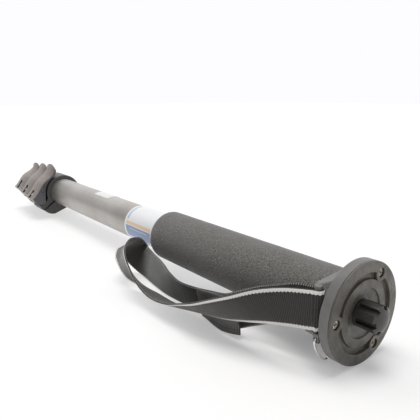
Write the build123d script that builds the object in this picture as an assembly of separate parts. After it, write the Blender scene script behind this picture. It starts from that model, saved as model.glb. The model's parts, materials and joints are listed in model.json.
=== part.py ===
from build123d import *
import os
from math import cos, radians, sin

# A collapsed four-section camera monopod, lying on its side. The origin is the
# centre of the face that the camera sits on. +X leaves that face, the tubes run
# to -X, and +Z is up. All sizes are in millimetres.

# Working allowances
overrun = 1.0            # how far a cut runs past what it opens
fit_gap = 0.05           # running clearance of turning and sliding pieces, on the radius
seat_gap = 0.02          # clearance of pieces that are pressed or screwed together
soft_gap = 0.3           # room left round foam and webbing
bolt_gap = 0.2           # clearance hole over a bolt, on the radius

# Tubes, from the camera end to the foot
tube_radii = (15.0, 12.5, 10.0, 7.5)
tube_wall = 1.2
bushing_length = 25.0
bushing_cap = 2.0
min_overlap = 60.0       # tube left inside the next tube when fully extended
nesting_step = 4.0       # each tube's top stops this far short of the one round it

# Platform: the round head under the camera
platform_step = 9.25     # how far the platform stands out past the grip
platform_depth = 7.4
plate_edge = 1.0
seam_gap = 0.3
plate_depth = 4.0
plate_body_inset = 1.8
seat_width = 6.1         # flat outer ring that the camera sits on
groove_width = 4.0
groove_depth = 2.0
inner_ring_width = 4.5
inner_ring_drop = 0.5
dish_rim_depth = 1.6
dish_floor_depth = 2.6
dish_floor_radius = 8.5
edge_break = 0.5

# Screws in the platform's face
face_screw_inset = 5.3   # from the platform's edge to the middle of each screw
face_screw_angles = (58.3, 178.3, -61.7)
boss_radius = 4.5
screw_recess_radius = 2.75
screw_recess_depth = 2.6
screw_head_radius = 2.25
screw_head_height = 1.6
screw_shank_radius = 1.5
screw_shank_length = 4.0
driver_slot_length = 2.8
driver_slot_width = 0.7
driver_slot_depth = 1.0

# Camera screw: 3/8 inch outside, 1/4 inch inside, held by a cross pin
stud_radius = 4.7625
stud_reach = 9.0
stud_tip_break = 0.8
stud_flange_radius = 9.0
stud_flange_depth = 2.3
stud_tail_radius = 3.175
stud_tail_length = 12.0
stud_pin_radius = 1.2
stud_pin_offset = 5.6    # from the flange to the cross pin

# Fluted cap over the camera screw
cap_radius = 7.6
cap_side_reach = 9.5
cap_dome = 2.3
cap_seat_gap = 0.1
flute_count = 6
flute_width = 3.2
flute_depth = 2.0
flute_phase = 131.0
flute_start = 1.5        # plain collar left at the cap's foot

# Hub plug inside the top tube
hub_length = 26.6
hub_hollow_radius = 10.0
hub_hollow_length = 14.0
hub_screw_offset = 20.6  # from the platform's back to the hub screws
hub_screw_head_radius = 2.6
hub_screw_head_height = 1.5
hub_screw_length = 3.2
hub_screw_count = 3

# Foam grip and labels
grip_thickness = 4.05
grip_end = 184.0
grip_edge_radius = 2.0
label_gap = 2.0
label_length = 47.0
label_thickness = 0.15
sticker_start = 283.0
sticker_length = 29.0
sticker_angles = (58.0, 112.0)

# Flip locks
lock_face = 409.4        # from the origin to the first lock's near face
lock_length = 26.5
lock_gap = 0.5           # between one closed lock and the next
collar_wall = 4.4
collar_edge_break = 0.8
socket_depth = 12.0      # how far a tube goes into its collar
liner_end_gap = 0.3
slit_angle = -141.0      # where the collars are split, from +Y towards +Z
slit_half = 0.8
bolt_offset = 5.5        # from the collar's outside to the tension bolt
pivot_height = 13.7      # from the slit to the lever's pivot
cam_radius = 7.45
ear_inset = 1.0
ear_end_offset = 6.3
ear_corner = 1.2
ear_root_rise = 1.2
ear_root_inset = 1.5
lower_ear_corners = ((4.9, -0.8), (4.9, -4.9), (3.1, -8.7), (-0.4, -11.9))
lower_ear_root_angle = -60.0
bolt_radius = 1.9
bolt_head_radius = 3.4
bolt_head_height = 3.0
bolt_head_inset = 0.4
bolt_head_gap = 0.3
bolt_tip = 6.0           # from the pivot to the bolt's bright end
nut_radius = 2.3
nut_height = 2.6
barrel_radius = 3.0
barrel_inset = 3.0
barrel_end_gap = 0.3      # left at each end of the barrel pin, in the lever's blind bore

# Flip levers
lever_inset = 0.5        # from the collar's faces to the lever's sides
lever_gap = 1.9          # between a closed lever and its collar
lever_slot_half = 2.6
lever_pocket_radius = 7.0
lever_bridge_radius = 5.6     # inner side of the bridge that closes the slot's lower end
lever_tip_thickness = 2.6
lever_tip_angles = (104.3, 102.6)
lever_tip_round_angle = 3.0   # how much further back the tip ends at its sides
lever_waist_angle = 120.0
lever_root_angle = 172.0
shoulder_growth = 2.0    # each further lever stands this much prouder at its shoulder
tip_growth = 0.2         # and this much prouder at its tip
growth_angles = (110.0, 140.0)
# Places across the lever's width and how far each has risen from the side edge
lever_width_shares = (0.0, 0.14, 0.32, 0.5, 0.68, 0.86, 1.0)
lever_rise_shares = (0.0, 0.6, 0.93, 1.0, 0.93, 0.6, 0.0)
# Heights of the lever's back over its collar, at its side edge and at its crest
lever_back_angles = (170.0, 152.5, 130.0, 112.0, 104.3)
lever_side_heights = (8.6, 5.9, 3.9, 6.4, 9.6)
lever_crest_heights = (9.9, 7.2, 5.5, 9.4, 13.4)
lever_lip_height = 3.4   # inner side of the flared tip, at the angle below
lever_lip_angle = 111.5
cam_angles = (-34.0, -62.0, -90.0)
heel_angle = -125.0
lever_slot_angles = (102.0, 155.0, 205.0, 255.0, 330.0)
lever_bridge_angles = (178.0, 195.0)
heel_radius = 6.3
horn_angle = 179.0
horn_radii = (8.2, 8.8)

# Strap bracket behind the platform
strap_width = 22.0
strap_thickness = 1.5
strap_pin_radius = 1.5
strap_pin_x = 11.5       # behind the origin
strap_pin_inset = 4.15   # in from the platform's edge
strap_mid_z = 5.5
bracket_boss_radius = 1.95
bracket_plate = 1.5
pin_seat_depth = 0.9     # how far the strap's pin goes into each arm
strap_sag = 1.5          # room under the strap, which droops as it leaves its pin
upper_bracket_reach = 6.2
lower_bracket_reach = 11.5
# Corners as shares of the platform's radius: Y, and the height over the plate's underside
upper_root_shares = ((-0.705, 0.080), (-0.660, 0.132), (-0.426, 0.292), (-0.441, 0.024))
upper_tip_shares = (-0.888, 0.028)
upper_tip_scale_share = 0.3      # size of the tip's outline against the root's
# Corners as shares of the lower plate's reach and of the platform's radius
lower_plate_shares = (
    (0.0, -0.68), (0.0, -0.92), (0.88, -0.90), (1.0, -0.846), (0.88, -0.783), (0.2, -0.665),
)
lug_length = 3.4
lug_thickness = 1.4
lug_height = 3.1         # how far the lug hangs below the lower arm
lug_offset = 0.5         # from the platform's back to the lug
lug_inset = 2.4          # in from the platform's edge
lug_hole_radius = 1.1
ring_wire_radius = 0.55
ring_half_length = 8.7
ring_half_width = 2.95
ring_lean = 36.87        # angle of the ring's length from upright
ring_inset = 2.1         # from the platform's edge in to the ring's highest point
ring_top_drop = 1.2      # from the lower arm down to the middle of the ring's wire
ring_hang = 0.1          # from the ring's highest point down to the middle of its hole

# Foot
foot_gap = 0.6
foot_length = 21.0
foot_radius = 10.5
foot_end_radius = 8.5
foot_wall_depth = 14.0
foot_round = 2.0
ferrule_length = 14.0
ferrule_flange = 2.0
ferrule_spigot_radius = 3.2
ferrule_spigot_length = 3.0
foot_groove_depth = 0.8
foot_groove_width = 1.6
foot_groove_count = 3

# Wrist strap: a flat webbing loop from the bracket out along the table and back.
# Each row is the middle of the webbing, as shares of the loop's reach along X and
# of the platform's radius along Y and Z, and then the direction across the webbing.
loop_reach = 200.0
strap_shares = (
    (-0.125, -1.091, 0.122, -0.14, -0.10, 0.99),
    (-0.195, -1.273, 0.007, -0.17, -0.31, 0.93),
    (-0.260, -1.441, -0.154, -0.14, -0.54, 0.83),
    (-0.325, -1.559, -0.315, -0.12, -0.68, 0.72),
    (-0.390, -1.622, -0.469, -0.05, -0.80, 0.60),
    (-0.4625, -1.622, -0.622, 0.10, -0.84, 0.53),
    (-0.5375, -1.657, -0.741, 0.26, -0.84, 0.46),
    (-0.615, -1.664, -0.783, 0.30, -0.86, 0.42),
    (-0.6875, -1.685, -0.720, 0.42, -0.78, 0.46),
    (-0.7515, -1.762, -0.573, 0.60, -0.52, 0.60),
    (-0.803, -1.815, -0.399, 0.56, -0.28, 0.78),
    (-0.858, -1.734, -0.231, 0.56, -0.08, 0.82),
    (-0.907, -1.538, -0.084, 0.64, 0.22, 0.73),
    (-0.947, -1.217, -0.084, 0.68, 0.52, 0.52),
    (-0.970, -0.972, -0.329, 0.46, 0.60, 0.66),
    (-0.947, -0.846, -0.552, 0.22, 0.40, 0.89),
    (-0.886, -0.881, -0.608, 0.13, 0.24, 0.96),
    (-0.824, -0.976, -0.605, 0.06, 0.16, 0.98),
    (-0.761, -1.070, -0.594, 0.03, 0.09, 1.00),
    (-0.699, -1.161, -0.591, 0.02, -0.04, 1.00),
    (-0.635, -1.238, -0.594, 0.05, -0.24, 0.97),
    (-0.566, -1.255, -0.619, 0.04, -0.38, 0.92),
    (-0.496, -1.224, -0.615, 0.02, -0.34, 0.94),
    (-0.427, -1.182, -0.601, -0.08, -0.16, 0.98),
    (-0.3575, -1.105, -0.552, -0.28, -0.04, 0.95),
    (-0.300, -0.993, -0.371, -0.38, 0.00, 0.93),
    (-0.2415, -0.906, -0.178, -0.36, 0.02, 0.93),
    (-0.1805, -0.850, -0.014, -0.30, 0.01, 0.95),
    (-0.1195, -0.790, 0.133, -0.18, 0.00, 0.98),
)
# The webbing's sewn end, which stands in front of the back run, in the same shares
tail_shares = (
    (-0.4700, -1.287, -0.580, 0.02, -0.26, 0.95),
    (-0.4400, -1.273, -0.591, 0.01, -0.20, 0.98),
    (-0.4050, -1.252, -0.601, 0.00, -0.05, 1.00),
    (-0.3675, -1.227, -0.598, 0.00, 0.09, 0.99),
    (-0.3350, -1.189, -0.570, 0.03, 0.14, 0.98),
    (-0.3025, -1.147, -0.524, 0.27, 0.17, 0.95),
)
tail_end_lean_angle = 16.0    # how far the cut end leans

# Places that follow from the sizes above
grip_radius = tube_radii[0] + soft_gap + grip_thickness
platform_radius = grip_radius + platform_step
plate_body_radius = platform_radius - plate_body_inset
groove_outer_radius = platform_radius - seat_width
groove_inner_radius = groove_outer_radius - groove_width
inner_ring_radius = groove_inner_radius - inner_ring_width
face_screw_radius = platform_radius - face_screw_inset
strap_pin_y = platform_radius - strap_pin_inset
lug_y = platform_radius - lug_inset
ring_y = platform_radius - ring_inset
hub_radius = tube_radii[0] - tube_wall - seat_gap
hub_end = platform_depth + hub_length
hub_screw_place = platform_depth + hub_screw_offset
flange_end = plate_depth + stud_flange_depth
pin_turn_radius = strap_pin_radius + soft_gap + strap_thickness / 2
bracket_top = strap_mid_z + strap_width / 2 + soft_gap
bracket_bottom = strap_mid_z - strap_width / 2 - strap_sag
ring_top = bracket_bottom - bracket_plate - ring_top_drop
lug_middle = platform_depth + lug_offset + lug_length / 2
pin_bottom = bracket_bottom - pin_seat_depth
pin_top = bracket_top + pin_seat_depth
lock_count = len(tube_radii) - 1
lock_pitch = lock_length + lock_gap
lock_faces = [lock_face + lock_pitch * index for index in range(lock_count)]
foot_face = lock_faces[-1] + lock_length + foot_gap
foot_end = foot_face + foot_length
tube_tops = [platform_depth] + [hub_end + nesting_step * (index + 1) for index in range(lock_count)]
tube_ends = [face + socket_depth for face in lock_faces] + [foot_face + foot_wall_depth]
collar_radii = [radius + collar_wall for radius in tube_radii[:-1]]
bolt_places = [radius + bolt_offset for radius in collar_radii]


def round_bar(front, back, radius, y=0, z=0):
    """A round bar along X from `back` to `front`, both measured back from the origin."""
    middle = Pos(-(front + back) / 2, y, z)
    return middle * Rot(0, 90, 0) * Cylinder(radius, back - front)


def sleeve(front, back, outer, inner):
    """A plain ring or tube along X."""
    return round_bar(front, back, outer) - round_bar(front - overrun, back + overrun, inner)


def turned(*corners):
    """A solid turned about X from corners given as (distance back, radius)."""
    outline = Polygon(*[(-back, radius) for back, radius in corners], align=None)
    return revolve(outline, Axis.X)


def polar(radius, angle):
    """Y and Z of a point at an angle from +Y towards +Z."""
    return radius * cos(radians(angle)), radius * sin(radians(angle))


def across(back):
    """The plane square to the tubes, with Y and Z as its own axes."""
    return Plane(origin=(-back, 0, 0), x_dir=(0, 1, 0), z_dir=(1, 0, 0))


def save(shape, name):
    """Write one piece, or a group of alike pieces, under its name."""
    export_step(shape, f"parts/{name}.step")


# Platform

def make_platform_face():
    """The round plate that the camera sits on, with its groove, ring and dish."""
    plate = turned(
        (plate_depth, 0),
        (plate_depth, plate_body_radius),
        (plate_edge, plate_body_radius),
        (plate_edge, platform_radius),
        (edge_break / 2, platform_radius),
        (0, platform_radius - edge_break / 2),
        (0, groove_outer_radius),
        (groove_depth, groove_outer_radius - edge_break),
        (groove_depth, groove_inner_radius + edge_break),
        (inner_ring_drop, groove_inner_radius),
        (inner_ring_drop, inner_ring_radius),
        (dish_rim_depth, inner_ring_radius - edge_break),
        (dish_floor_depth, dish_floor_radius),
        (dish_floor_depth, 0),
    )
    places = [polar(face_screw_radius, angle) for angle in face_screw_angles]
    body = round_bar(0, plate_depth, plate_body_radius)
    for y, z in places:
        plate += round_bar(0, plate_depth, boss_radius, y, z) & body
    plate -= round_bar(-overrun, plate_depth + overrun, stud_radius + bolt_gap)
    for y, z in places:
        plate -= round_bar(-overrun, screw_recess_depth, screw_recess_radius, y, z)
        plate -= round_bar(0, plate_depth + overrun, screw_shank_radius + bolt_gap, y, z)
    return plate


def make_face_screws():
    """Three cross-head screws, each with its shank in the platform's housing."""
    screws = []
    top = screw_recess_depth - screw_head_height
    for angle in face_screw_angles:
        y, z = polar(face_screw_radius, angle)
        screw = round_bar(top, screw_recess_depth, screw_head_radius, y, z)
        screw += round_bar(top, screw_recess_depth + screw_shank_length, screw_shank_radius, y, z)
        for turn in (0, 90):
            slot = Box(2 * driver_slot_depth, driver_slot_length, driver_slot_width)
            screw -= Pos(-top, y, z) * Rot(angle + turn, 0, 0) * slot
        screws.append(screw)
    return Compound(children=screws)


def corners_at(back, shares):
    """An outline square to X for the upper arm."""
    points = [(platform_radius * y, bracket_top + platform_radius * rise) for y, rise in shares]
    return across(back) * Polygon(*points, align=None)


def upright(radius, low, high):
    """A round bar along Z at the strap's pin."""
    place = Pos(-strap_pin_x, -strap_pin_y, (low + high) / 2)
    return place * Cylinder(radius, high - low)


def make_bracket():
    """The two arms that hold the strap's pin, and the lug below them for the wire ring."""
    root_y, root_rise = upper_root_shares[0]
    tip_y, tip_rise = upper_tip_shares
    tip_shares = [
        (tip_y + upper_tip_scale_share * (y - root_y), tip_rise + upper_tip_scale_share * (rise - root_rise))
        for y, rise in upper_root_shares
    ]
    upper = loft(
        [
            corners_at(platform_depth, upper_root_shares),
            corners_at(platform_depth + upper_bracket_reach, tip_shares),
        ],
        ruled=True,
    )
    upper += upright(bracket_boss_radius, bracket_top, bracket_top + bracket_plate)
    low = bracket_bottom - bracket_plate
    corners = [
        (-platform_depth - lower_bracket_reach * reach, platform_radius * y)
        for reach, y in lower_plate_shares
    ]
    lower = Pos(0, 0, low) * extrude(Polygon(*corners, align=None), bracket_plate, dir=(0, 0, 1))
    lower += upright(bracket_boss_radius, low, bracket_bottom)
    lug = Box(lug_length, lug_thickness, lug_height + bracket_plate)
    lower += Pos(-lug_middle, -lug_y, (bracket_bottom + low - lug_height) / 2) * lug
    hole = Rot(90, 0, 0) * Cylinder(lug_hole_radius, lug_thickness + 2 * overrun)
    return upper, lower - Pos(-lug_middle, -lug_y, ring_top - ring_hang) * hole


def make_platform_base():
    """The housing behind the plate, its hub plug and the strap's bracket."""
    recess = plate_body_radius + bolt_gap / 2
    front = plate_edge + seam_gap
    base = turned(
        (front, recess),
        (front, platform_radius),
        (platform_depth - edge_break, platform_radius),
        (platform_depth, platform_radius - edge_break),
        (platform_depth, hub_radius),
        (hub_end, hub_radius),
        (hub_end, hub_hollow_radius),
        (hub_end - hub_hollow_length, hub_hollow_radius),
        (hub_end - hub_hollow_length, 0),
        (plate_depth, 0),
        (plate_depth, recess),
    )
    upper, lower = make_bracket()
    base = base + upper + lower
    base -= upright(strap_pin_radius + seat_gap, pin_bottom - seat_gap, pin_top + seat_gap)
    base -= round_bar(plate_depth - overrun, flange_end + seat_gap, stud_flange_radius + seat_gap)
    tail_end = flange_end + stud_tail_length + seat_gap
    base -= round_bar(plate_depth, tail_end, stud_tail_radius + seat_gap)
    base -= Pos(-flange_end - stud_pin_offset, 0, 0) * Cylinder(stud_pin_radius + seat_gap, 2 * hub_radius + overrun)
    for angle in face_screw_angles:
        y, z = polar(face_screw_radius, angle)
        end = screw_recess_depth + screw_shank_length + seat_gap
        base -= round_bar(plate_depth - overrun, end, screw_shank_radius + seat_gap, y, z)
    for turn in hub_screw_turns():
        base -= turn * hub_screw(bolt_gap / 2)
    return base


def make_camera_stud():
    """The camera screw: a large thread outside, a flange, and a small thread inside."""
    stud = turned(
        (-stud_reach, 0),
        (-stud_reach, stud_radius - stud_tip_break),
        (stud_tip_break - stud_reach, stud_radius),
        (plate_depth, stud_radius),
        (plate_depth, stud_flange_radius),
        (flange_end, stud_flange_radius),
        (flange_end, stud_tail_radius),
        (flange_end + stud_tail_length, stud_tail_radius),
        (flange_end + stud_tail_length, 0),
    )
    hole = Cylinder(stud_pin_radius + seat_gap, 2 * (stud_tail_radius + overrun))
    return stud - Pos(-flange_end - stud_pin_offset, 0, 0) * hole


def make_stud_pin():
    """The cross pin through the hub and the inner end of the camera screw."""
    pin = Cylinder(stud_pin_radius, 2 * (hub_radius - stud_pin_radius))
    return Pos(-flange_end - stud_pin_offset, 0, 0) * pin


def make_stud_cap():
    """The fluted cap that is pushed over the camera screw."""
    foot = dish_floor_depth - cap_seat_gap
    crown_radius = (cap_radius ** 2 + cap_dome ** 2) / (2 * cap_dome)
    crown = Sphere(crown_radius)
    cap = round_bar(-cap_side_reach - cap_dome, foot, cap_radius)
    cap &= Pos(cap_side_reach + cap_dome - crown_radius, 0, 0) * crown + round_bar(-cap_side_reach, foot, cap_radius)
    cap -= round_bar(-stud_reach - cap_seat_gap, foot + overrun, stud_radius + fit_gap)
    flute_floor = cap_radius - flute_depth
    length = cap_side_reach + cap_dome + foot - flute_start + overrun
    for index in range(flute_count):
        flute = Box(length, flute_depth + overrun, flute_width, align=(Align.MIN, Align.MIN, Align.CENTER))
        turn = Rot(flute_phase + index * 360 / flute_count, 0, 0)
        cap -= turn * Pos(flute_start - foot, flute_floor, 0) * flute
    return cap


# Hub screws, which also hold the top tube

def hub_screw_turns():
    """The places of the hub screws round the tube."""
    return [Rot(index * 360 / hub_screw_count, 0, 0) for index in range(hub_screw_count)]


def hub_screw(gap):
    """One screw on +Z, or with a gap the hole that it needs."""
    top = tube_radii[0] - fit_gap
    seat = top - hub_screw_head_height
    reach = tube_radii[0] + overrun if gap else top
    head_height = reach - seat + gap / 2
    head = Pos(0, 0, reach - head_height / 2) * Cylinder(hub_screw_head_radius + gap, head_height)
    shank_end = seat - hub_screw_length - gap
    shank = Pos(0, 0, (seat + shank_end) / 2) * Cylinder(screw_shank_radius + gap, seat - shank_end)
    return Pos(-hub_screw_place, 0, 0) * (head + shank)


def make_hub_screws():
    """The flat screws that fasten the top tube to the hub plug, hidden by the grip."""
    return Compound(children=[turn * hub_screw(0) for turn in hub_screw_turns()])


# Tubes, bushings, grip and labels

def make_tube(index):
    """One tube of the pole."""
    radius = tube_radii[index]
    tube = sleeve(tube_tops[index], tube_ends[index], radius, radius - tube_wall)
    if index == 0:
        for turn in hub_screw_turns():
            tube -= turn * hub_screw(bolt_gap / 2)
    return tube


def make_top_bushing(index):
    """The capped plastic sleeve on the hidden end of a sliding tube."""
    top = tube_tops[index]
    outer = tube_radii[index - 1] - tube_wall - fit_gap
    bore = tube_radii[index] - tube_wall
    shell = sleeve(top - bushing_cap, top + bushing_length, outer, bore)
    return shell - round_bar(top, top + bushing_length + overrun, tube_radii[index] + seat_gap)


def make_grip():
    """The thick foam sleeve, with rounded ends."""
    front = platform_depth + soft_gap
    inner = tube_radii[0] + soft_gap
    grip = sleeve(front, grip_end, grip_radius, inner)
    rims = grip.edges().filter_by(GeomType.CIRCLE).group_by(SortBy.RADIUS)[-1]
    return fillet(rims, grip_edge_radius)


def make_label_band():
    """The printed band round the tube, just past the grip."""
    start = grip_end + label_gap
    inner = tube_radii[0] + seat_gap
    return sleeve(start, start + label_length, inner + label_thickness, inner)


def make_small_label():
    """A small white sticker, on the upper side of the bare tube."""
    inner = tube_radii[0] + seat_gap
    band = sleeve(sticker_start, sticker_start + sticker_length, inner + label_thickness, inner)
    low, high = sticker_angles
    reach = 2 * tube_radii[0]
    wedge = [(0, 0), polar(reach, low), polar(reach, (low + high) / 2), polar(reach, high)]
    keep = across(sticker_start + sticker_length + overrun) * Polygon(*wedge, align=None)
    return band & extrude(keep, sticker_length + 2 * overrun, dir=(1, 0, 0))


# Flip locks

def lock_plane(back):
    """The plane square to the tubes whose X runs along a collar's slit."""
    y, z = polar(1, slit_angle)
    return Plane(origin=(-back, 0, 0), x_dir=(0, y, z), z_dir=(-1, 0, 0))


def lock_block(points, start, length):
    """A block along X from corners given in a lock's own directions."""
    return extrude(lock_plane(start) * Polygon(*points, align=None), length, dir=(-1, 0, 0))


def slit_block(width, start, length):
    """The gap that a collar or a liner is split by."""
    points = [(0, -slit_half), (width, -slit_half), (width, slit_half), (0, slit_half)]
    return lock_block(points, start - overrun, length + 2 * overrun)


def tension_bar(index, low, high, radius):
    """A round bar along a lock's tension bolt, between two heights over the slit."""
    back = lock_faces[index] + lock_length / 2
    foot = lock_plane(back).from_local_coords(Vector(bolt_places[index], low, 0))
    line = Plane(origin=foot, x_dir=(1, 0, 0), z_dir=lock_plane(back).y_dir)
    align = (Align.CENTER, Align.CENTER, Align.MIN)
    return line.location * Cylinder(radius, high - low, align=align)


def pivot_bar(index, front, back, radius):
    """A round bar along X at a lever's pivot."""
    centre = pivot_centre(index)
    return round_bar(front, back, radius, centre.Y, centre.Z)


def pivot_wedge(index, near, far, angles):
    """A wedge that opens from a lever's pivot through the angles given."""
    centre = pivot_centre(index)
    outline = [(centre.Y, centre.Z)]
    for angle in angles:
        y, z = polar(3 * lever_pocket_radius, angle)
        outline.append((centre.Y + y, centre.Z + z))
    return extrude(across(far) * Polygon(*outline, align=None), far - near, dir=(1, 0, 0))


def pivot_centre(index):
    """The middle of a lever's pivot, seen along the tubes."""
    return lock_plane(0).from_local_coords(Vector(bolt_places[index], pivot_height, 0))


def make_collar(index):
    """A split collar with its two ears, fixed on the end of a tube."""
    face = lock_faces[index]
    end = face + lock_length
    ring_radius = collar_radii[index]
    bolt = bolt_places[index]
    bore = tube_radii[index] + seat_gap
    collar = turned(
        (face, bore),
        (face, ring_radius - collar_edge_break),
        (face + collar_edge_break, ring_radius),
        (end - collar_edge_break, ring_radius),
        (end, ring_radius - collar_edge_break),
        (end, bore),
    )
    ear_top = pivot_height - cam_radius - fit_gap
    tip = bolt + ear_end_offset
    upper = [
        (bore, slit_half),
        (tip, slit_half),
        (tip, ear_top - ear_corner),
        (tip - ear_corner, ear_top),
        (ring_radius + ear_root_inset, ear_top),
        (ring_radius - ear_root_inset, ear_top + ear_root_rise),
        (bore, ear_top + ear_root_rise),
    ]
    root_y, root_z = polar(ring_radius, lower_ear_root_angle)
    lower = [(bore, -slit_half)]
    lower += [(bolt + offset, height) for offset, height in lower_ear_corners]
    lower += [(root_y, root_z), (bore / 2, root_z)]
    for corners in (upper, lower):
        collar += lock_block(corners, face + ear_inset, lock_length - 2 * ear_inset)
    collar -= slit_block(2 * tip, face, lock_length)
    collar -= round_bar(face - overrun, end + overrun, bore)
    head_low = bolt_head_low()
    collar -= tension_bar(index, head_low, pivot_height, bolt_radius + bolt_gap)
    pocket_top = head_low + bolt_head_height
    pocket_low = head_low - bolt_head_inset - overrun
    collar -= tension_bar(index, pocket_low, pocket_top, bolt_head_radius + bolt_head_gap)
    return collar


def bolt_head_low():
    """The height of the underside of a tension bolt's head, over the slit."""
    return min(height for offset, height in lower_ear_corners) + bolt_head_inset


def make_clamp_bolt(index):
    """A tension bolt with its round nut on the far side of the barrel pin."""
    low = bolt_head_low()
    bolt = tension_bar(index, low, low + bolt_head_height, bolt_head_radius)
    bolt += tension_bar(index, low, pivot_height + bolt_tip, bolt_radius)
    bolt -= tension_bar(index, low - overrun, low + bolt_head_height / 2, bolt_radius)
    nut_low = pivot_height + barrel_radius
    nut = tension_bar(index, nut_low, nut_low + nut_height, nut_radius)
    nut -= tension_bar(index, nut_low - overrun, nut_low + nut_height + overrun, bolt_radius + seat_gap)
    return Compound(children=[bolt, nut])


def barrel_span(index):
    """Where a barrel pin starts and ends along the tubes."""
    face = lock_faces[index]
    return face + barrel_inset, face + lock_length - barrel_inset


def make_barrel_pin(index):
    """The cross pin that a lever turns on, with a hole for the tension bolt."""
    front, back = barrel_span(index)
    pin = pivot_bar(index, front, back, barrel_radius)
    hole_low = pivot_height - 2 * barrel_radius
    hole_high = pivot_height + 2 * barrel_radius
    return pin - tension_bar(index, hole_low, hole_high, bolt_radius + seat_gap)


def make_liner(index):
    """The split plastic liner between a collar and the tube that slides in it."""
    face = lock_faces[index]
    start = face + socket_depth + liner_end_gap
    end = face + lock_length
    liner = sleeve(start, end, tube_radii[index], tube_radii[index + 1] + fit_gap)
    return liner - slit_block(tube_radii[index] + overrun, start, end - start)


def growth(index, angle):
    """How much prouder of its collar a further lever stands at an angle round it."""
    low, high = growth_angles
    share = min(max((angle - low) / (high - low), 0), 1)
    return index * (tip_growth + share * (shoulder_growth - tip_growth))


def lever_outline(index, rise):
    """A lever's outline seen along the tubes, from its side edge to its crest."""
    ring_radius = collar_radii[index]
    centre = pivot_centre(index)

    def about_pivot(radius, angle):
        y, z = polar(radius, angle)
        return centre.Y + y, centre.Z + z

    back = []
    for angle, side, crest in zip(lever_back_angles, lever_side_heights, lever_crest_heights):
        height = side + rise * (crest - side) + growth(index, angle)
        back.append((ring_radius + height, angle))
    round_back = (1 - rise) * lever_tip_round_angle
    inner = ring_radius + lever_gap
    lip = inner + lever_lip_height - lever_gap
    tip_out_radius = back[-1][0]
    outer_angle, inner_angle = [angle + round_back for angle in lever_tip_angles]
    back[-1] = (tip_out_radius, outer_angle)
    horn_side, horn_crest = horn_radii
    horn = about_pivot(horn_side + rise * (horn_crest - horn_side), horn_angle)
    cam = [about_pivot(cam_radius, angle) for angle in cam_angles]
    heel = about_pivot(heel_radius, heel_angle)
    tip_out = polar(tip_out_radius, outer_angle)
    tip_in = polar(tip_out_radius - lever_tip_thickness, inner_angle)
    waist = polar(inner, lever_waist_angle)
    root = polar(inner, lever_root_angle)
    edges = [
        ThreePointArc(*cam),
        Spline(cam[-1], heel, horn),
        Spline(horn, *[polar(radius, angle) for radius, angle in back]),
        Line(tip_out, tip_in),
        Spline(tip_in, polar(lip, lever_lip_angle), waist),
        ThreePointArc(waist, polar(inner, (lever_waist_angle + lever_root_angle) / 2), root),
        Line(root, cam[0]),
    ]
    return make_face(Curve() + edges)


def make_lever(index):
    """A domed flip lever: a long hooked arm with a forked cam at its pivot."""
    face = lock_faces[index] + lever_inset
    width = lock_length - 2 * lever_inset
    sections = []
    for place, rise in zip(lever_width_shares, lever_rise_shares):
        sections.append(across(face + place * width) * lever_outline(index, rise))
    lever = loft(sections, ruled=True)
    bore_start, bore_end = barrel_span(index)
    bore_start -= barrel_end_gap
    bore_end += barrel_end_gap
    lever -= pivot_bar(index, bore_start, bore_end, barrel_radius + fit_gap)
    middle = face + width / 2
    near = middle - lever_slot_half
    far = middle + lever_slot_half
    slot = pivot_bar(index, near, far, lever_pocket_radius) + pivot_wedge(index, near, far, lever_slot_angles)
    bridge = pivot_wedge(index, near, far, lever_bridge_angles)
    return lever - (slot - (bridge - pivot_bar(index, near, far, lever_bridge_radius)))


# Wrist strap, its pin and the wire ring

def table_places(shares):
    """The middle points and the directions across the webbing from a table of shares."""
    points = []
    widths = []
    for x, y, z, *width in shares:
        points.append(Vector(loop_reach * x, platform_radius * y, platform_radius * z))
        widths.append(Vector(*width))
    return points, widths


def webbing(points, widths, first_run, last_run):
    """A flat band through points, with the run given at its two ends."""
    sections = []
    for index, (point, width) in enumerate(zip(points, widths)):
        if index == 0:
            run = first_run
        elif index == len(points) - 1:
            run = last_run
        else:
            before = (point - points[index - 1]).normalized()
            after = (points[index + 1] - point).normalized()
            run = (before + after).normalized()
        place = Plane(origin=point, x_dir=width - run * width.dot(run), z_dir=run)
        sections.append(place * Rectangle(strap_width, strap_thickness))
    return loft(sections, ruled=True)


def make_wrist_strap():
    """The webbing loop, turned round its pin and laid out beside the grip."""
    points, widths = table_places(strap_shares)
    out_side = Vector(-strap_pin_x, -strap_pin_y - pin_turn_radius, strap_mid_z)
    in_side = Vector(-strap_pin_x, -strap_pin_y + pin_turn_radius, strap_mid_z)
    points = [out_side, *points, in_side]
    widths = [Vector(0, 0, 1), *widths, Vector(0, 0, 1)]
    band = webbing(points, widths, Vector(-1, 0, 0), Vector(1, 0, 0))
    outer = pin_turn_radius + strap_thickness / 2
    inner = pin_turn_radius - strap_thickness / 2
    low = strap_mid_z - strap_width / 2
    turn = upright(outer, low, low + strap_width) - upright(inner, low - overrun, low + strap_width + overrun)
    side = Box(2 * outer, 4 * outer, 2 * strap_width, align=(Align.MAX, Align.CENTER, Align.CENTER))
    turn -= Pos(-strap_pin_x, -strap_pin_y, strap_mid_z) * side
    return band + turn


def make_strap_tail():
    """The webbing's sewn end, which bulges out in front of the back run."""
    points, widths = table_places(tail_shares)
    first_run = (points[1] - points[0]).normalized()
    last_run = Vector(cos(radians(tail_end_lean_angle)), 0, -sin(radians(tail_end_lean_angle)))
    return webbing(points, widths, first_run, last_run)


def make_strap_pin():
    """The pin that the strap turns round."""
    return upright(strap_pin_radius, pin_bottom, pin_top)


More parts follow.
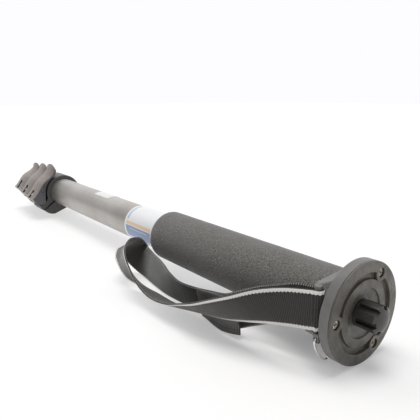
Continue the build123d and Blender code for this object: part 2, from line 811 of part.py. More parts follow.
def make_wire_ring():
    """The thin oval wire ring that hangs from the lug and leans under the grip."""
    side = sin(radians(ring_lean))
    down = cos(radians(ring_lean))
    rise = ((ring_half_length * down) ** 2 + (ring_half_width * side) ** 2) ** 0.5
    shift = (ring_half_length ** 2 - ring_half_width ** 2) * side * down / rise
    middle = (-lug_middle, shift - ring_y, ring_top - rise)
    hang = Plane(origin=middle, x_dir=(0, side, -down), z_dir=(1, 0, 0))
    path = (hang * Ellipse(ring_half_length, ring_half_width)).face().outer_wire()
    start = Plane(origin=path @ 0, z_dir=path % 0)
    return sweep(start * Circle(ring_wire_radius), path=path)


# Foot

def make_foot_ferrule():
    """The plug in the last tube that carries the rubber foot."""
    end = tube_ends[-1]
    plug = tube_radii[-1] - tube_wall - seat_gap
    return turned(
        (end - ferrule_length, 0),
        (end - ferrule_length, plug),
        (end, plug),
        (end, tube_radii[-1]),
        (end + ferrule_flange, tube_radii[-1]),
        (end + ferrule_flange, ferrule_spigot_radius),
        (end + ferrule_flange + ferrule_spigot_length, ferrule_spigot_radius),
        (end + ferrule_flange + ferrule_spigot_length, 0),
    )


def make_rubber_foot():
    """The rubber foot, grooved round its side and flat at its end."""
    socket_end = tube_ends[-1] + ferrule_flange + seat_gap
    bore = tube_radii[-1] + seat_gap
    spigot = ferrule_spigot_radius + seat_gap
    foot = turned(
        (foot_face, bore),
        (foot_face, foot_radius - foot_round / 2),
        (foot_face + foot_round / 2, foot_radius),
        (foot_end - foot_round, foot_radius),
        (foot_end, foot_end_radius),
        (foot_end, 0),
        (socket_end + ferrule_spigot_length, 0),
        (socket_end + ferrule_spigot_length, spigot),
        (socket_end, spigot),
        (socket_end, bore),
    )
    for index in range(foot_groove_count):
        start = foot_face + foot_round + 2 * foot_groove_width * (index + 1)
        floor = foot_radius - foot_groove_depth
        foot -= sleeve(start, start + foot_groove_width, foot_radius + overrun, floor)
    return foot


os.makedirs("parts", exist_ok=True)
save(make_platform_face(), "platform_face")
save(make_platform_base(), "platform_base")
save(make_face_screws(), "face_screws")
save(make_camera_stud(), "camera_stud")
save(make_stud_pin(), "stud_pin")
save(make_stud_cap(), "stud_cap")
save(make_hub_screws(), "hub_screws")
save(make_grip(), "foam_grip")
save(make_label_band(), "label_band")
save(make_small_label(), "small_label")
save(make_strap_pin(), "strap_pin")
save(make_wrist_strap(), "wrist_strap")
save(make_strap_tail(), "strap_tail")
save(make_wire_ring(), "wire_ring")
for number in range(len(tube_radii)):
    save(make_tube(number), f"tube_{number + 1}")
for number in range(lock_count):
    save(make_top_bushing(number + 1), f"top_bushing_{number + 2}")
    save(make_collar(number), f"lock_collar_{number + 1}")
    save(make_liner(number), f"liner_{number + 1}")
    save(make_barrel_pin(number), f"barrel_pin_{number + 1}")
    save(make_clamp_bolt(number), f"clamp_bolt_{number + 1}")
    save(make_lever(number), f"lever_{number + 1}")
save(make_foot_ferrule(), "foot_ferrule")
save(make_rubber_foot(), "rubber_foot")

for number in range(lock_count):
    travel = tube_ends[number] - tube_tops[number + 1] - min_overlap
    centre = pivot_centre(number)
    print(f"section {number + 2} slides", round(travel, 3))
    print(f"lever {number + 1} pivot", round(centre.Y, 3), round(centre.Z, 3))
print("overall", round(cap_side_reach + cap_dome + foot_end, 1))
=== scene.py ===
import json
from math import cos, pi, radians, sin

import bpy
from mathutils import Matrix, Vector, noise


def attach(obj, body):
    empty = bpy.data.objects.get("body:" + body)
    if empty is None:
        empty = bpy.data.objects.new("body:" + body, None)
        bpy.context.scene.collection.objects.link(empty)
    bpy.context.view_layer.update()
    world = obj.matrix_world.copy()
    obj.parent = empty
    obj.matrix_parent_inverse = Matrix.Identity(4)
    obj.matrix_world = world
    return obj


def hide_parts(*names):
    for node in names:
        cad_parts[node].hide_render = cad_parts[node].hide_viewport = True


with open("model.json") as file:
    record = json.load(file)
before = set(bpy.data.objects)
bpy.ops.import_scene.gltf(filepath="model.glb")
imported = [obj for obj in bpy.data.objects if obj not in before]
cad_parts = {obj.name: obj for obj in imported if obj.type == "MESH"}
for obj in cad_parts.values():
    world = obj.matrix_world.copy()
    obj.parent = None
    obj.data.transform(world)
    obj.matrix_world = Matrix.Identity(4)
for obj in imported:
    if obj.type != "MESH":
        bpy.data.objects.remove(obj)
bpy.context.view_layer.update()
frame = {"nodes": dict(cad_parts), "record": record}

MM = 0.001

# Sizes shared with the CAD source, in metres
PLATFORM_RADIUS = 28.6 * MM
GRIP_RADIUS = 19.35 * MM
GRIP_FRONT = 7.7 * MM
GRIP_END = 184.0 * MM
GRIP_EDGE = 2.0 * MM
GRIP_BORE = 15.3 * MM
LOOP_REACH = 200.0 * MM
PIN_X = -11.5 * MM
PIN_Y = -24.45 * MM
PIN_TURN = 2.55 * MM
STRAP_MID_Z = 5.5 * MM
FLOOR_Z = -28.6 * MM
# The printed band: where its colours start and end along the tube, and round it in degrees
BAND_RUN = (-230.0 * MM, -190.5 * MM)
ORANGE_ARC = (160, 170)
BLUE_ARC = (173, 212)
SIDE_LINE_RUN = (-230.5 * MM, -227.6 * MM)
SIDE_LINE_ARC = (88, 153)
FINE_LINE_RUN = (-224.0 * MM, -196.0 * MM)
FINE_LINE_ARC = (180, 183)
# The weave: how far its map is shifted across the webbing on the inner face and on the sewn end
INNER_SHIFT = 80 * MM
SEWN_SHIFT = 160 * MM
RIB_PITCH = 1.05 * MM
TOOTH_PITCH = 1.9 * MM
TOOTH_DEPTH = 0.25 * MM
DOT_PITCH = 1.3 * MM
STITCH_PITCH = 2.6 * MM
STRIPE_EDGES = (8.9 * MM, 10.75 * MM)
DOT_EDGES = (10.2 * MM, 10.8 * MM)
SEAM_EDGES = (7.6 * MM, 8.1 * MM)

# The middle of the webbing, as shares of the loop's reach along X and of the
# platform's radius along Y and Z, and then the direction across the webbing.
STRAP_ROWS = (
    (-0.125, -1.091, 0.122, -0.14, -0.10, 0.99),
    (-0.195, -1.273, 0.007, -0.17, -0.31, 0.93),
    (-0.260, -1.441, -0.154, -0.14, -0.54, 0.83),
    (-0.325, -1.559, -0.315, -0.12, -0.68, 0.72),
    (-0.390, -1.622, -0.469, -0.05, -0.80, 0.60),
    (-0.4625, -1.622, -0.622, 0.10, -0.84, 0.53),
    (-0.5375, -1.657, -0.741, 0.26, -0.84, 0.46),
    (-0.615, -1.664, -0.783, 0.30, -0.86, 0.42),
    (-0.6875, -1.685, -0.720, 0.42, -0.78, 0.46),
    (-0.7515, -1.762, -0.573, 0.60, -0.52, 0.60),
    (-0.803, -1.815, -0.399, 0.56, -0.28, 0.78),
    (-0.858, -1.734, -0.231, 0.56, -0.08, 0.82),
    (-0.907, -1.538, -0.084, 0.64, 0.22, 0.73),
    (-0.947, -1.217, -0.084, 0.68, 0.52, 0.52),
    (-0.970, -0.972, -0.329, 0.46, 0.60, 0.66),
    (-0.947, -0.846, -0.552, 0.22, 0.40, 0.89),
    (-0.886, -0.881, -0.608, 0.13, 0.24, 0.96),
    (-0.824, -0.976, -0.605, 0.06, 0.16, 0.98),
    (-0.761, -1.070, -0.594, 0.03, 0.09, 1.00),
    (-0.699, -1.161, -0.591, 0.02, -0.04, 1.00),
    (-0.635, -1.238, -0.594, 0.05, -0.24, 0.97),
    (-0.566, -1.255, -0.619, 0.04, -0.38, 0.92),
    (-0.496, -1.224, -0.615, 0.02, -0.34, 0.94),
    (-0.427, -1.182, -0.601, -0.08, -0.16, 0.98),
    (-0.3575, -1.105, -0.552, -0.28, -0.04, 0.95),
    (-0.300, -0.993, -0.371, -0.38, 0.00, 0.93),
    (-0.2415, -0.906, -0.178, -0.36, 0.02, 0.93),
    (-0.1805, -0.850, -0.014, -0.30, 0.01, 0.95),
    (-0.1195, -0.790, 0.133, -0.18, 0.00, 0.98),
)
# The webbing's sewn end, in the same shares, and the lean of its free end in degrees
TAIL_END_LEAN = 16
TAIL_ROWS = (
    (-0.4700, -1.287, -0.580, 0.02, -0.26, 0.95),
    (-0.4400, -1.273, -0.591, 0.01, -0.20, 0.98),
    (-0.4050, -1.252, -0.601, 0.00, -0.05, 1.00),
    (-0.3675, -1.227, -0.598, 0.00, 0.09, 0.99),
    (-0.3350, -1.189, -0.570, 0.03, 0.14, 0.98),
    (-0.3025, -1.147, -0.524, 0.27, 0.17, 0.95),
)


def make_camera():
    """The photograph's camera."""
    data = bpy.data.cameras.new("camera")
    data.sensor_width = 36
    data.lens = 41.42
    data.clip_start = 0.01
    data.clip_end = 50
    camera = bpy.data.objects.new("camera", data)
    right = Vector((0.614134, 0.789202, 0))
    up = Vector((-0.184179, 0.143335, 0.972385))
    back = Vector((0.767410, -0.597173, 0.233381))
    place = Matrix((right, up, back)).transposed().to_4x4()
    place.translation = (0.13318, -0.20568, 0.11106)
    camera.matrix_world = place
    bpy.context.scene.collection.objects.link(camera)
    bpy.context.scene.camera = camera


class Look:
    """One procedural material, laid out in the row's own metres."""

    def __init__(self, name, **constants):
        self.material = bpy.data.materials.new(name)
        self.material.use_nodes = True
        self.tree = self.material.node_tree
        self.shader = self.tree.nodes["Principled BSDF"]
        for key, value in constants.items():
            self.shader.inputs[key.replace("_", " ")].default_value = value
        self.place = self.node("ShaderNodeTexCoord").outputs["Object"]
        self.normal = None

    def node(self, kind, inputs=(), **settings):
        """Adds a node. `inputs` pairs a socket's name or number with a value or an output."""
        made = self.tree.nodes.new(kind)
        for key, value in settings.items():
            setattr(made, key, value)
        for key, value in inputs:
            if isinstance(value, bpy.types.NodeSocket):
                self.tree.links.new(value, made.inputs[key])
            else:
                made.inputs[key].default_value = value
        return made

    def maths(self, operation, first, second=0.0):
        """One arithmetic node."""
        inputs = [(0, first), (1, second)]
        return self.node("ShaderNodeMath", inputs, operation=operation).outputs[0]

    def split(self, vector):
        """The three parts of a vector."""
        return self.node("ShaderNodeSeparateXYZ", [(0, vector)]).outputs

    def stretched(self, x, y, z):
        """The place, scaled differently along each axis."""
        return self.node("ShaderNodeMapping", [("Vector", self.place), ("Scale", (x, y, z))]).outputs[0]

    def noise(self, size, detail=2.0, rough=0.5, place=None):
        """Smooth noise whose features are about `size` metres across."""
        inputs = [("Vector", place or self.place), ("Scale", 1 / size), ("Detail", detail), ("Roughness", rough)]
        return self.node("ShaderNodeTexNoise", inputs).outputs["Fac"]

    def product(self, *values):
        """The product of two or more values."""
        made = values[0]
        for value in values[1:]:
            made = self.maths("MULTIPLY", made, value)
        return made

    def length(self, first, second):
        """The distance from the origin to a place given by two coordinates."""
        return self.maths("SQRT", self.maths("ADD", self.product(first, first), self.product(second, second)))

    def wave(self, value, pitch):
        """A sine wave between -1 and 1 along a value."""
        return self.maths("SINE", self.product(value, 2 * pi / pitch))

    def between(self, value, limits):
        """1 where a value lies between two limits, and 0 elsewhere."""
        low, high = limits
        return self.product(self.maths("GREATER_THAN", value, low), self.maths("LESS_THAN", value, high))

    def scaled(self, value, low, high, start=0.0, end=1.0):
        """A value from `start`..`end` moved to `low`..`high`."""
        inputs = [("Value", value), ("From Min", start), ("From Max", end), ("To Min", low), ("To Max", high)]
        return self.node("ShaderNodeMapRange", inputs).outputs[0]

    def mix(self, factor, first, second):
        """One colour laid over another."""
        made = self.node("ShaderNodeMix", data_type="RGBA")
        for key, value in ((0, factor), (6, first), (7, second)):
            if isinstance(value, bpy.types.NodeSocket):
                self.tree.links.new(value, made.inputs[key])
            elif key:
                made.inputs[key].default_value = (*value, 1)
            else:
                made.inputs[key].default_value = value
        return made.outputs[2]

    def colour(self, output):
        """Sets the base colour."""
        self.tree.links.new(output, self.shader.inputs["Base Color"])

    def rough(self, output):
        """Sets the roughness."""
        self.tree.links.new(output, self.shader.inputs["Roughness"])

    def rounded(self, radius):
        """The surface's direction with its sharp edges rounded."""
        return self.node("ShaderNodeBevel", [("Radius", radius)], samples=6).outputs[0]

    def soften(self, radius):
        """Rounds the edges that the CAD model leaves sharp."""
        self.normal = self.rounded(radius)

    def edges(self, radius):
        """1 on sharp edges, and 0 elsewhere."""
        plain = self.node("ShaderNodeNewGeometry").outputs["Normal"]
        both = [(0, self.rounded(radius)), (1, plain)]
        same = self.node("ShaderNodeVectorMath", both, operation="DOT_PRODUCT").outputs["Value"]
        return self.scaled(self.maths("SUBTRACT", 1.0, same), 0, 1, 0.02, 0.12)

    def bump(self, height, depth, strength=1.0):
        """Adds relief of `depth` metres."""
        inputs = [("Height", height), ("Distance", depth), ("Strength", strength)]
        if self.normal:
            inputs.append(("Normal", self.normal))
        self.normal = self.node("ShaderNodeBump", inputs).outputs[0]

    def done(self):
        """Joins the relief to the shader and gives the material."""
        if self.normal:
            self.tree.links.new(self.normal, self.shader.inputs["Normal"])
        return self.material


def grained(name, colour, roughness, grain, depth, spread=0.12, edge=0.3 * MM, wear_and_highlight=0.0):
    """A moulded or painted surface: slight colour variation, fine grain and soft edges. Given an amount, its
    sharp edges are painted lighter, partly as worn paint and partly as a painted edge highlight.
    """
    look = Look(name)
    cloud = look.noise(9 * MM, 3)
    speck = look.noise(grain, 2, 0.6)
    dark = tuple(c * (1 - spread) for c in colour)
    light = tuple(min(1, c * (1 + spread)) for c in colour)
    base = look.mix(look.scaled(cloud, 0, 1, 0.35, 0.65), dark, light)
    base = look.mix(look.scaled(speck, 0, 0.35, 0.3, 0.7), base, dark)
    if wear_and_highlight:
        # Sharp edges painted lighter: partly worn paint, partly a painted edge highlight.
        worn_and_highlit = look.product(look.edges(0.6 * MM), look.scaled(cloud, 0.4 * wear_and_highlight, wear_and_highlight, 0.4, 0.6))
        base = look.mix(worn_and_highlit, base, tuple(min(1, 1.9 * c) for c in colour))
    look.colour(base)
    look.rough(look.scaled(cloud, roughness - 0.05, roughness + 0.06, 0.3, 0.7))
    if edge:
        look.soften(edge)
    look.bump(speck, depth)
    return look.done()


def face_look():
    """The camera plate's enamel: brownish, turned, handled, with duller and glossier patches, darker towards low
    Y and Z as painted shade, and sharp edges painted lighter, partly worn and partly as a painted edge
    highlight.
    """
    look = Look("face_metal")
    place = look.split(look.place)
    rings = look.wave(look.length(place["Y"], place["Z"]), 0.45 * MM)
    smudge = look.noise(7 * MM, 5, 0.6)
    speck = look.noise(0.5 * MM, 3, 0.6)
    base = look.mix(look.scaled(smudge, 0, 1, 0.38, 0.62), (0.090, 0.081, 0.067), (0.165, 0.152, 0.130))
    base = look.mix(look.scaled(speck, 0, 0.4, 0.35, 0.7), base, (0.120, 0.108, 0.090))
    # Painted shade: the enamel is mixed towards a dark brown towards low Y and low Z, its lower left as seen.
    upper = look.maths("ADD", place["Y"], look.product(place["Z"], 0.6))
    base = look.mix(look.scaled(upper, 0.55, 0.0, -24 * MM, 12 * MM), base, (0.048, 0.043, 0.035))
    # Sharp edges painted lighter: partly worn enamel, partly a painted edge highlight.
    worn_and_highlit = look.product(look.edges(0.5 * MM), 0.5)
    base = look.mix(worn_and_highlit, base, (0.36, 0.345, 0.32))
    look.colour(base)
    look.rough(look.scaled(smudge, 0.50, 0.27, 0.35, 0.65))
    look.soften(0.35 * MM)
    look.bump(rings, 0.006 * MM)
    look.bump(speck, 0.02 * MM)
    return look.done()


def lever_look():
    """The levers' metallic paint: warm on the tops, with painted shade making the faces that look along X darker
    and cooler.
    """
    look = Look("lever_plastic", Metallic=0.4)
    normal = look.node("ShaderNodeTexCoord").outputs["Normal"]
    side_shade_mask = look.maths("ABSOLUTE", look.split(normal)[0])
    cloud = look.noise(6 * MM, 3)
    speck = look.noise(0.5 * MM, 3)
    top = look.mix(look.scaled(cloud, 0, 1, 0.35, 0.65), (0.29, 0.25, 0.222), (0.36, 0.325, 0.30))
    top = look.mix(look.scaled(speck, 0, 0.3, 0.3, 0.7), top, (0.22, 0.19, 0.17))
    # Painted shade: faces that look along X are mixed towards a darker, cooler grey.
    base = look.mix(look.scaled(side_shade_mask, 0, 1, 0.35, 0.9), top, (0.125, 0.125, 0.138))
    look.colour(base)
    look.rough(look.scaled(cloud, 0.26, 0.38, 0.3, 0.7))
    look.soften(0.3 * MM)
    look.bump(speck, 0.015 * MM)
    return look.done()


def tube_look():
    """Satin anodised tube, with very fine lines along it."""
    look = Look("tube_metal", Metallic=0.8)
    cloud = look.noise(30 * MM, 3)
    lines = look.noise(0.35 * MM, 2, place=look.stretched(0.02, 1, 1))
    speck = look.noise(0.25 * MM, 2)
    base = look.mix(look.scaled(cloud, 0, 1, 0.3, 0.7), (0.45, 0.428, 0.402), (0.58, 0.554, 0.522))
    base = look.mix(look.scaled(lines, 0, 0.25, 0.35, 0.65), base, (0.32, 0.304, 0.286))
    look.colour(base)
    look.rough(look.scaled(speck, 0.34, 0.46, 0.3, 0.7))
    look.bump(lines, 0.01 * MM)
    return look.done()


def label_look():
    """A white printed film with plain blue and orange bands."""
    look = Look("print_film", Roughness=0.35, Coat_Weight=0.3, Coat_Roughness=0.2)
    x, y, z = look.split(look.place)
    angle = look.maths("ARCTAN2", z, y)
    turned = look.maths("MODULO", look.maths("ADD", angle, 2 * pi), 2 * pi)
    cloud = look.noise(6 * MM, 3)
    paper = look.mix(cloud, (0.86, 0.88, 0.91), (0.92, 0.93, 0.95))

    def patch(run, arc):
        return look.product(look.between(x, run), look.between(turned, [radians(end) for end in arc]))

    orange = patch(BAND_RUN, ORANGE_ARC)
    blue = patch(BAND_RUN, BLUE_ARC)
    side_line = patch(SIDE_LINE_RUN, SIDE_LINE_ARC)
    fine_line = patch(FINE_LINE_RUN, FINE_LINE_ARC)
    base = look.mix(orange, paper, (0.93, 0.66, 0.42))
    base = look.mix(blue, base, (0.26, 0.36, 0.60))
    base = look.mix(look.product(fine_line, 0.7), base, (0.75, 0.80, 0.90))
    base = look.mix(look.product(side_line, 0.75), base, (0.42, 0.52, 0.74))
    look.colour(base)
    look.rough(look.scaled(cloud, 0.3, 0.42))
    look.bump(look.noise(2.5 * MM, 2), 0.02 * MM)
    return look.done()


def steel_look(name, colour, roughness, behind=None):
    """Bright plated steel with fine turning marks. Pieces beyond the grip's end may take a brighter colour, a
    painted highlight standing in for the lamp's glint.
    """
    look = Look(name, Metallic=1.0)
    cloud = look.noise(1.2 * MM, 3)
    fine = look.noise(0.15 * MM, 2)
    dark = tuple(c * 0.72 for c in colour)
    base = look.mix(look.scaled(cloud, 0, 0.6, 0.35, 0.7), colour, dark)
    if behind:
        # Painted highlight: pieces beyond the grip's end take the brighter colour given.
        back = look.maths("LESS_THAN", look.split(look.place)[0], -GRIP_END)
        base = look.mix(back, base, behind)
    look.colour(base)
    look.rough(look.scaled(fine, roughness, roughness + 0.15, 0.3, 0.7))
    look.soften(0.15 * MM)
    look.bump(fine, 0.012 * MM)
    return look.done()


def foam_look():
    """Closed-cell foam: dark, dull and finely pitted."""
    look = Look("foam", Specular_IOR_Level=0.45, Sheen_Weight=0.55, Sheen_Roughness=0.45)
    inputs = [("Vector", look.place), ("Scale", 1 / (0.55 * MM))]
    cells = look.node("ShaderNodeTexVoronoi", inputs).outputs["Distance"]
    speck = look.noise(0.8 * MM, 3, 0.75)
    dust = look.noise(1.6 * MM, 4, 0.8)
    cloud = look.noise(14 * MM, 3)
    base = look.mix(look.scaled(speck, 0, 1, 0.40, 0.60), (0.030, 0.028, 0.025), (0.225, 0.215, 0.200))
    base = look.mix(look.scaled(cloud, 0, 0.4, 0.35, 0.65), base, (0.15, 0.145, 0.136))
    base = look.mix(look.scaled(dust, 0, 0.5, 0.60, 0.72), base, (0.42, 0.405, 0.385))
    look.colour(base)
    look.rough(look.scaled(speck, 0.72, 0.9, 0.4, 0.6))
    look.bump(cells, 0.10 * MM, 0.7)
    look.bump(speck, 0.10 * MM, 0.8)
    return look.done()


def webbing_look():
    """Ribbed black webbing: white stripes at the outer face's edges, dots at the inner face's."""
    look = Look("webbing", Specular_IOR_Level=0.35, Sheen_Weight=0.7, Sheen_Roughness=0.4)
    weave = look.split(look.node("ShaderNodeUVMap", uv_map="weave").outputs[0])
    along, across = weave["X"], weave["Y"]
    outer = look.maths("LESS_THAN", across, INNER_SHIFT / 2)
    sewn = look.maths("GREATER_THAN", across, (INNER_SHIFT + SEWN_SHIFT) / 2)
    inner = look.maths("SUBTRACT", look.maths("GREATER_THAN", across, INNER_SHIFT / 2), sewn)
    home = look.maths("SUBTRACT", across, look.product(inner, INNER_SHIFT))
    home = look.maths("SUBTRACT", home, look.product(sewn, SEWN_SHIFT))
    off_middle = look.maths("ABSOLUTE", home)
    ribs = look.scaled(look.wave(along, RIB_PITCH), 0, 1, -1, 1)
    ends = look.scaled(look.wave(home, 0.6 * MM), 0, 1, -1, 1)
    jagged = look.maths("ADD", off_middle, look.product(look.wave(along, TOOTH_PITCH), TOOTH_DEPTH))
    stripe_start, stripe_end = STRIPE_EDGES
    stripe = look.product(outer, look.maths("GREATER_THAN", jagged, stripe_start))
    stripe = look.product(stripe, look.maths("LESS_THAN", off_middle, stripe_end))
    dots = look.maths("GREATER_THAN", look.wave(along, DOT_PITCH), 0.45)
    dotted = look.product(inner, look.between(off_middle, DOT_EDGES), dots)
    dash = look.maths("GREATER_THAN", look.wave(along, STITCH_PITCH), -0.3)
    seam = look.product(sewn, look.between(off_middle, SEAM_EDGES), dash)
    speck = look.noise(0.5 * MM, 2)
    base = look.mix(look.scaled(speck, 0, 1, 0.3, 0.7), (0.040, 0.038, 0.035), (0.085, 0.081, 0.075))
    base = look.mix(look.scaled(ribs, 0.0, 0.8), base, (0.012, 0.011, 0.011))
    base = look.mix(look.product(inner, look.scaled(ends, 0.0, 0.3)), base, (0.05, 0.048, 0.046))
    base = look.mix(look.product(sewn, 0.7), base, (0.17, 0.165, 0.158))
    base = look.mix(look.product(seam, 0.8), base, (0.04, 0.039, 0.038))
    white = look.mix(look.scaled(ribs, 0, 0.5), (0.97, 0.95, 0.92), (0.78, 0.76, 0.73))
    base = look.mix(stripe, base, white)
    base = look.mix(look.product(dotted, 0.8), base, (0.74, 0.72, 0.68))
    look.colour(base)
    look.rough(look.scaled(speck, 0.65, 0.85))
    look.bump(look.maths("ADD", ribs, look.product(ends, 0.4)), 0.12 * MM, 0.9)
    look.bump(speck, 0.05 * MM)
    return look.done()


def make_looks():
    """Every material slot's finish."""
    # Colour, roughness, grain size, grain depth and the rest, for each moulded or painted slot
    plain = {
        # The edge amount on disc_metal and collar_plastic paints sharp edges lighter: partly worn, partly a
        # painted edge highlight.
        "disc_metal": ((0.185, 0.182, 0.174), 0.44, 0.5 * MM, 0.02 * MM, {"edge": 0.5 * MM, "wear_and_highlight": 0.5}),
        "black_nylon": ((0.050, 0.048, 0.045), 0.32, 0.35 * MM, 0.02 * MM, {"edge": 0.5 * MM}),
        "collar_plastic": ((0.078, 0.076, 0.073), 0.42, 0.4 * MM, 0.02 * MM, {"wear_and_highlight": 0.4}),
        "liner_plastic": ((0.04, 0.04, 0.042), 0.5, 0.5 * MM, 0.02 * MM, {}),
        "foot_rubber": ((0.03, 0.03, 0.031), 0.72, 0.45 * MM, 0.05 * MM, {}),
        "sticker_film": ((0.86, 0.86, 0.86), 0.4, 0.6 * MM, 0.01 * MM, {"spread": 0.03, "edge": 0}),
    }
    looks = {}
    for name, (colour, roughness, grain, depth, rest) in plain.items():
        looks[name] = grained(name, colour, roughness, grain, depth, **rest)
    looks["lever_plastic"] = lever_look()
    looks["face_metal"] = face_look()
    looks["tube_metal"] = tube_look()
    looks["print_film"] = label_look()
    # The screws beyond the grip's end get a painted highlight colour.
    looks["screw_steel"] = steel_look("screw_steel", (0.56, 0.51, 0.42), 0.28, (1.0, 0.95, 0.86))
    looks["wire_steel"] = steel_look("wire_steel", (0.78, 0.77, 0.75), 0.14)
    looks["foam"] = foam_look()
    looks["webbing"] = webbing_look()
    return looks


def new_piece(name, verts, faces, look):
    """A smooth mesh that rides on the upper body."""
    mesh = bpy.data.meshes.new(name)
    mesh.from_pydata(verts, [], faces)
    mesh.validate()
    mesh.update()
    mesh.materials.append(look)
    for polygon in mesh.polygons:
        polygon.use_smooth = True
    piece = bpy.data.objects.new(name, mesh)
    bpy.context.scene.collection.objects.link(piece)
    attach(piece, "upper")
    return piece


def curve_point(points, place):
    """A point on the smooth line through a list of points, at a place counted in points."""
    last = len(points) - 1
    index = min(int(place), last - 1)
    part = place - index
    p1, p2 = points[index], points[index + 1]
    p0 = points[index - 1] if index else 2 * p1 - p2
    p3 = points[index + 2] if index + 2 <= last else 2 * p2 - p1
    return 0.5 * (
        2 * p1 + (p2 - p0) * part + (2 * p0 - 5 * p1 + 4 * p2 - p3) * part ** 2
        + (3 * p1 - p0 - 3 * p2 + p3) * part ** 3
    )


def table_lines(rows):
    """The middle line and the directions across the webbing from a table of shares."""
    points = []
    widths = []
    for x, y, z, *width in rows:
        points.append(Vector((LOOP_REACH * x, PLATFORM_RADIUS * y, PLATFORM_RADIUS * z)))
        widths.append(Vector(width).normalized())
    return points, widths


def ribbon_frames(points, widths, steps, first_run, last_run):
    """Places along a line: the middle, the direction across, and the inner normal."""
    last = len(points) - 1
    made = []
    for step in range(steps + 1):
        place = last * step / steps
        middle = curve_point(points, place)
        before = curve_point(points, max(0, place - 0.01))
        after = curve_point(points, min(last, place + 0.01))
        run = (after - before).normalized()
        if step == 0:
            run = first_run or run
        if step == steps:
            run = last_run or run
        width = curve_point(widths, place)
        width = (width - run * width.dot(run)).normalized()
        made.append((middle, width, run.cross(width)))
    return made


# Across the webbing, in millimetres: place, and height over its middle, round its section.
# The sides from INNER_FIRST up to INNER_END are on the inner face.
INNER_FIRST = 8
INNER_END = 15
SECTION = (
    (-10.3, -0.68), (-6.0, -0.74), (-2.0, -0.75), (2.0, -0.75), (6.0, -0.74), (10.3, -0.68),
    (10.85, -0.45), (11.0, 0.0), (10.85, 0.45),
    (10.3, 0.68), (6.0, 0.74), (2.0, 0.75), (-2.0, 0.75), (-6.0, 0.74), (-10.3, 0.68),
    (-10.85, 0.45), (-11.0, 0.0), (-10.85, -0.45),
)


def ribbon(name, frames, closed, look, inner_shift, outer_shift):
    """Webbing laid through a list of places. The outer face is on the low side of its section."""
    count = len(SECTION)
    verts = []
    lengths = [0.0]
    for index, (middle, width, inward) in enumerate(frames):
        if index:
            lengths.append(lengths[-1] + (middle - frames[index - 1][0]).length)
        for across, height in SECTION:
            verts.append(middle + (width * across + inward * height) * MM)
    faces = []
    corners = []
    rows = len(frames)
    total = lengths[-1] + (frames[0][0] - frames[-1][0]).length
    for row in range(rows if closed else rows - 1):
        after = (row + 1) % rows
        near, far = lengths[row], lengths[after] if after else total
        for column in range(count):
            beside = (column + 1) % count
            faces.append((
                row * count + column, row * count + beside,
                after * count + beside, after * count + column,
            ))
            shift = inner_shift if INNER_FIRST <= column < INNER_END else outer_shift
            here, there = SECTION[column][0] * MM + shift, SECTION[beside][0] * MM + shift
            corners += [(near, here), (near, there), (far, there), (far, here)]
    if not closed:
        faces.append(tuple(reversed(range(count))))
        faces.append(tuple(range((rows - 1) * count, rows * count)))
        corners += [(0.0, 0.0)] * (2 * count)
    piece = new_piece(name, verts, faces, look)
    layer = piece.data.uv_layers.new(name="weave")
    for index, corner in enumerate(corners):
        layer.data[index].uv = corner
    return piece


def make_strap(looks):
    """The wrist strap: one loop of webbing, turned round its pin, and its sewn tail."""
    points, widths = table_lines(STRAP_ROWS)
    upright = Vector((0, 0, 1))
    pin = Vector((PIN_X, PIN_Y, STRAP_MID_Z))
    beside_pin = Vector((0, PIN_TURN, 0))
    points = [pin - beside_pin, *points, pin + beside_pin]
    widths = [upright, *widths, upright]
    steps = 8 * (len(points) - 1)
    frames = ribbon_frames(points, widths, steps, Vector((-1, 0, 0)), Vector((1, 0, 0)))
    turns = 8
    for step in range(1, turns):
        angle = radians(90 - 180 * step / turns)
        outward = Vector((cos(angle), sin(angle), 0))
        frames.append((pin + outward * PIN_TURN, upright, -outward))
    strap = ribbon("strap_webbing", frames, True, looks["webbing"], INNER_SHIFT, 0.0)
    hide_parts("wrist_strap")
    points, widths = table_lines(TAIL_ROWS)
    lean = radians(TAIL_END_LEAN)
    frames = ribbon_frames(points, widths, 40, None, Vector((cos(lean), 0, -sin(lean))))
    tail = ribbon("strap_sewn_tail", frames, False, looks["webbing"], SEWN_SHIFT, SEWN_SHIFT)
    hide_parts("strap_tail")


def make_grip(looks):
    """The foam sleeve, turned from its profile, with a barely uneven skin."""
    corner = 6
    rows = 88
    around = 128
    wobble_depth = 0.06 * MM
    span = GRIP_END - GRIP_FRONT - 2 * GRIP_EDGE
    rims = []
    for step in range(corner + 1):
        angle = radians(90 * step / corner)
        rims.append((GRIP_EDGE * (1 - sin(angle)), GRIP_RADIUS - GRIP_EDGE * (1 - cos(angle))))
    loop = [(GRIP_FRONT, GRIP_BORE)]
    loop += [(GRIP_FRONT + back, radius) for back, radius in reversed(rims)]
    loop += [(GRIP_FRONT + GRIP_EDGE + span * step / rows, GRIP_RADIUS) for step in range(1, rows)]
    loop += [(GRIP_END - back, radius) for back, radius in rims]
    loop.append((GRIP_END, GRIP_BORE))
    verts = []
    for back, radius in loop:
        for step in range(around):
            angle = 2 * pi * step / around
            y, z = cos(angle), sin(angle)
            wobble = 0.0
            if radius > GRIP_BORE + MM:
                wobble = wobble_depth * noise.noise(Vector((back * 90, y * 2.2, z * 2.2)))
            verts.append((-back, (radius + wobble) * y, (radius + wobble) * z))
    faces = []
    rings = len(loop)
    for ring in range(rings):
        after = (ring + 1) % rings
        for step in range(around):
            beside = (step + 1) % around
            near, far = ring * around, after * around
            faces.append((near + step, near + beside, far + beside, far + step))
    grip = new_piece("grip_foam", verts, faces, looks["foam"])
    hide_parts("foam_grip")


def dress_nodes(looks):
    """Gives every CAD node that stays its own slot's material."""
    slots = {part["node"]: part["material_slot"] for part in frame["record"]["subparts"]}
    for name, node in frame["nodes"].items():
        node.data.materials.clear()
        node.data.materials.append(looks[slots[name]])


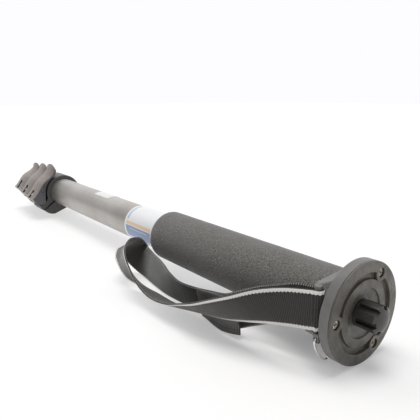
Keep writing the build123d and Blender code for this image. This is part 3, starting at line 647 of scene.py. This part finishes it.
def make_floor():
    """A wide white table top. For the camera it glows, as painted light, more strongly away from the grip's
    front, so its shadows grow fainter there.
    """
    size = 6.0
    mesh = bpy.data.meshes.new("floor")
    corners = [(size * x, size * y, FLOOR_Z) for x, y in ((-1, -1), (1, -1), (1, 1), (-1, 1))]
    mesh.from_pydata(corners, [], [(0, 1, 2, 3)])
    floor = bpy.data.objects.new("floor", mesh)
    bpy.context.scene.collection.objects.link(floor)
    look = Look("floor", Roughness=0.6, Specular_IOR_Level=0.2)
    cloud = look.noise(0.35, 2)
    path = look.node("ShaderNodeLightPath").outputs
    seen = look.maths("MAXIMUM", path["Is Camera Ray"], path["Is Glossy Ray"])
    seen = look.maths("MAXIMUM", seen, path["Is Transmission Ray"])
    white = look.mix(cloud, (0.925, 0.92, 0.925), (0.945, 0.94, 0.945))
    place = look.split(look.place)
    # Painted light: away from the grip's front the floor shows less of its own lit colour and glows more for the
    # camera, lifting its shadows.
    away = look.length(look.maths("ADD", place["X"], 35 * MM), place["Y"])
    far = look.scaled(away, 0, 1, 0, 110 * MM)
    look.colour(look.mix(seen, white, look.mix(far, (0.86, 0.86, 0.86), (0.42, 0.42, 0.42))))
    strength = look.product(seen, look.scaled(far, 0.15, 0.58, 0, 1))
    glow = look.node("ShaderNodeEmission", [("Color", (1, 0.995, 1, 1)), ("Strength", strength)])
    both = look.node("ShaderNodeAddShader", [(0, look.shader.outputs[0]), (1, glow.outputs[0])])
    look.tree.links.new(both.outputs[0], look.tree.nodes["Material Output"].inputs["Surface"])
    mesh.materials.append(look.done())


def make_light():
    """A white room, darker in front, a soft lamp overhead and a dull one from the foot's side."""
    world = bpy.data.worlds.new("room")
    world.use_nodes = True
    nodes, links = world.node_tree.nodes, world.node_tree.links
    ground = nodes["Background"]
    ground.inputs["Color"].default_value = (0.985, 0.975, 1, 1)

    def maths(operation, *values):
        node = nodes.new("ShaderNodeMath")
        node.operation = operation
        for slot, value in zip(node.inputs, values):
            if isinstance(value, (int, float)):
                slot.default_value = value
            else:
                links.new(value, slot)
        return node.outputs[0]

    path = nodes.new("ShaderNodeLightPath").outputs
    split = nodes.new("ShaderNodeSeparateXYZ")
    links.new(nodes.new("ShaderNodeTexCoord").outputs["Generated"], split.inputs[0])
    side = nodes.new("ShaderNodeMapRange")
    links.new(split.outputs["Y"], side.inputs["Value"])
    for name, value in (("From Min", -0.9), ("From Max", 0.2), ("To Min", 0.3), ("To Max", 1.0)):
        side.inputs[name].default_value = value
    mirrored = maths("MAXIMUM", path["Is Glossy Ray"], path["Is Transmission Ray"])
    level = maths("ADD", 0.40, maths("MULTIPLY", mirrored, 0.60))
    level = maths("MULTIPLY", level, side.outputs[0])
    links.new(maths("MAXIMUM", path["Is Camera Ray"], level), ground.inputs["Strength"])
    bpy.context.scene.world = world
    for name, toward, spread, strength in (
        ("lamp_above", (-0.1, 0.0, 1.0), 32, 1.75),
        ("lamp_left", (-1.0, -0.3, 0.8), 40, 0.7),
    ):
        data = bpy.data.lights.new(name, "SUN")
        data.angle = radians(spread)
        data.energy = strength
        data.color = (1, 0.99, 0.97)
        lamp = bpy.data.objects.new(name, data)
        lamp.visible_glossy = name == "lamp_above"
        lamp.rotation_mode = "QUATERNION"
        lamp.rotation_quaternion = Vector(toward).to_track_quat("Z", "Y")
        bpy.context.scene.collection.objects.link(lamp)


make_camera()
make_light()
make_floor()
looks = make_looks()
dress_nodes(looks)
make_strap(looks)
make_grip(looks)

bpy.context.scene.view_settings.view_transform = "Standard"
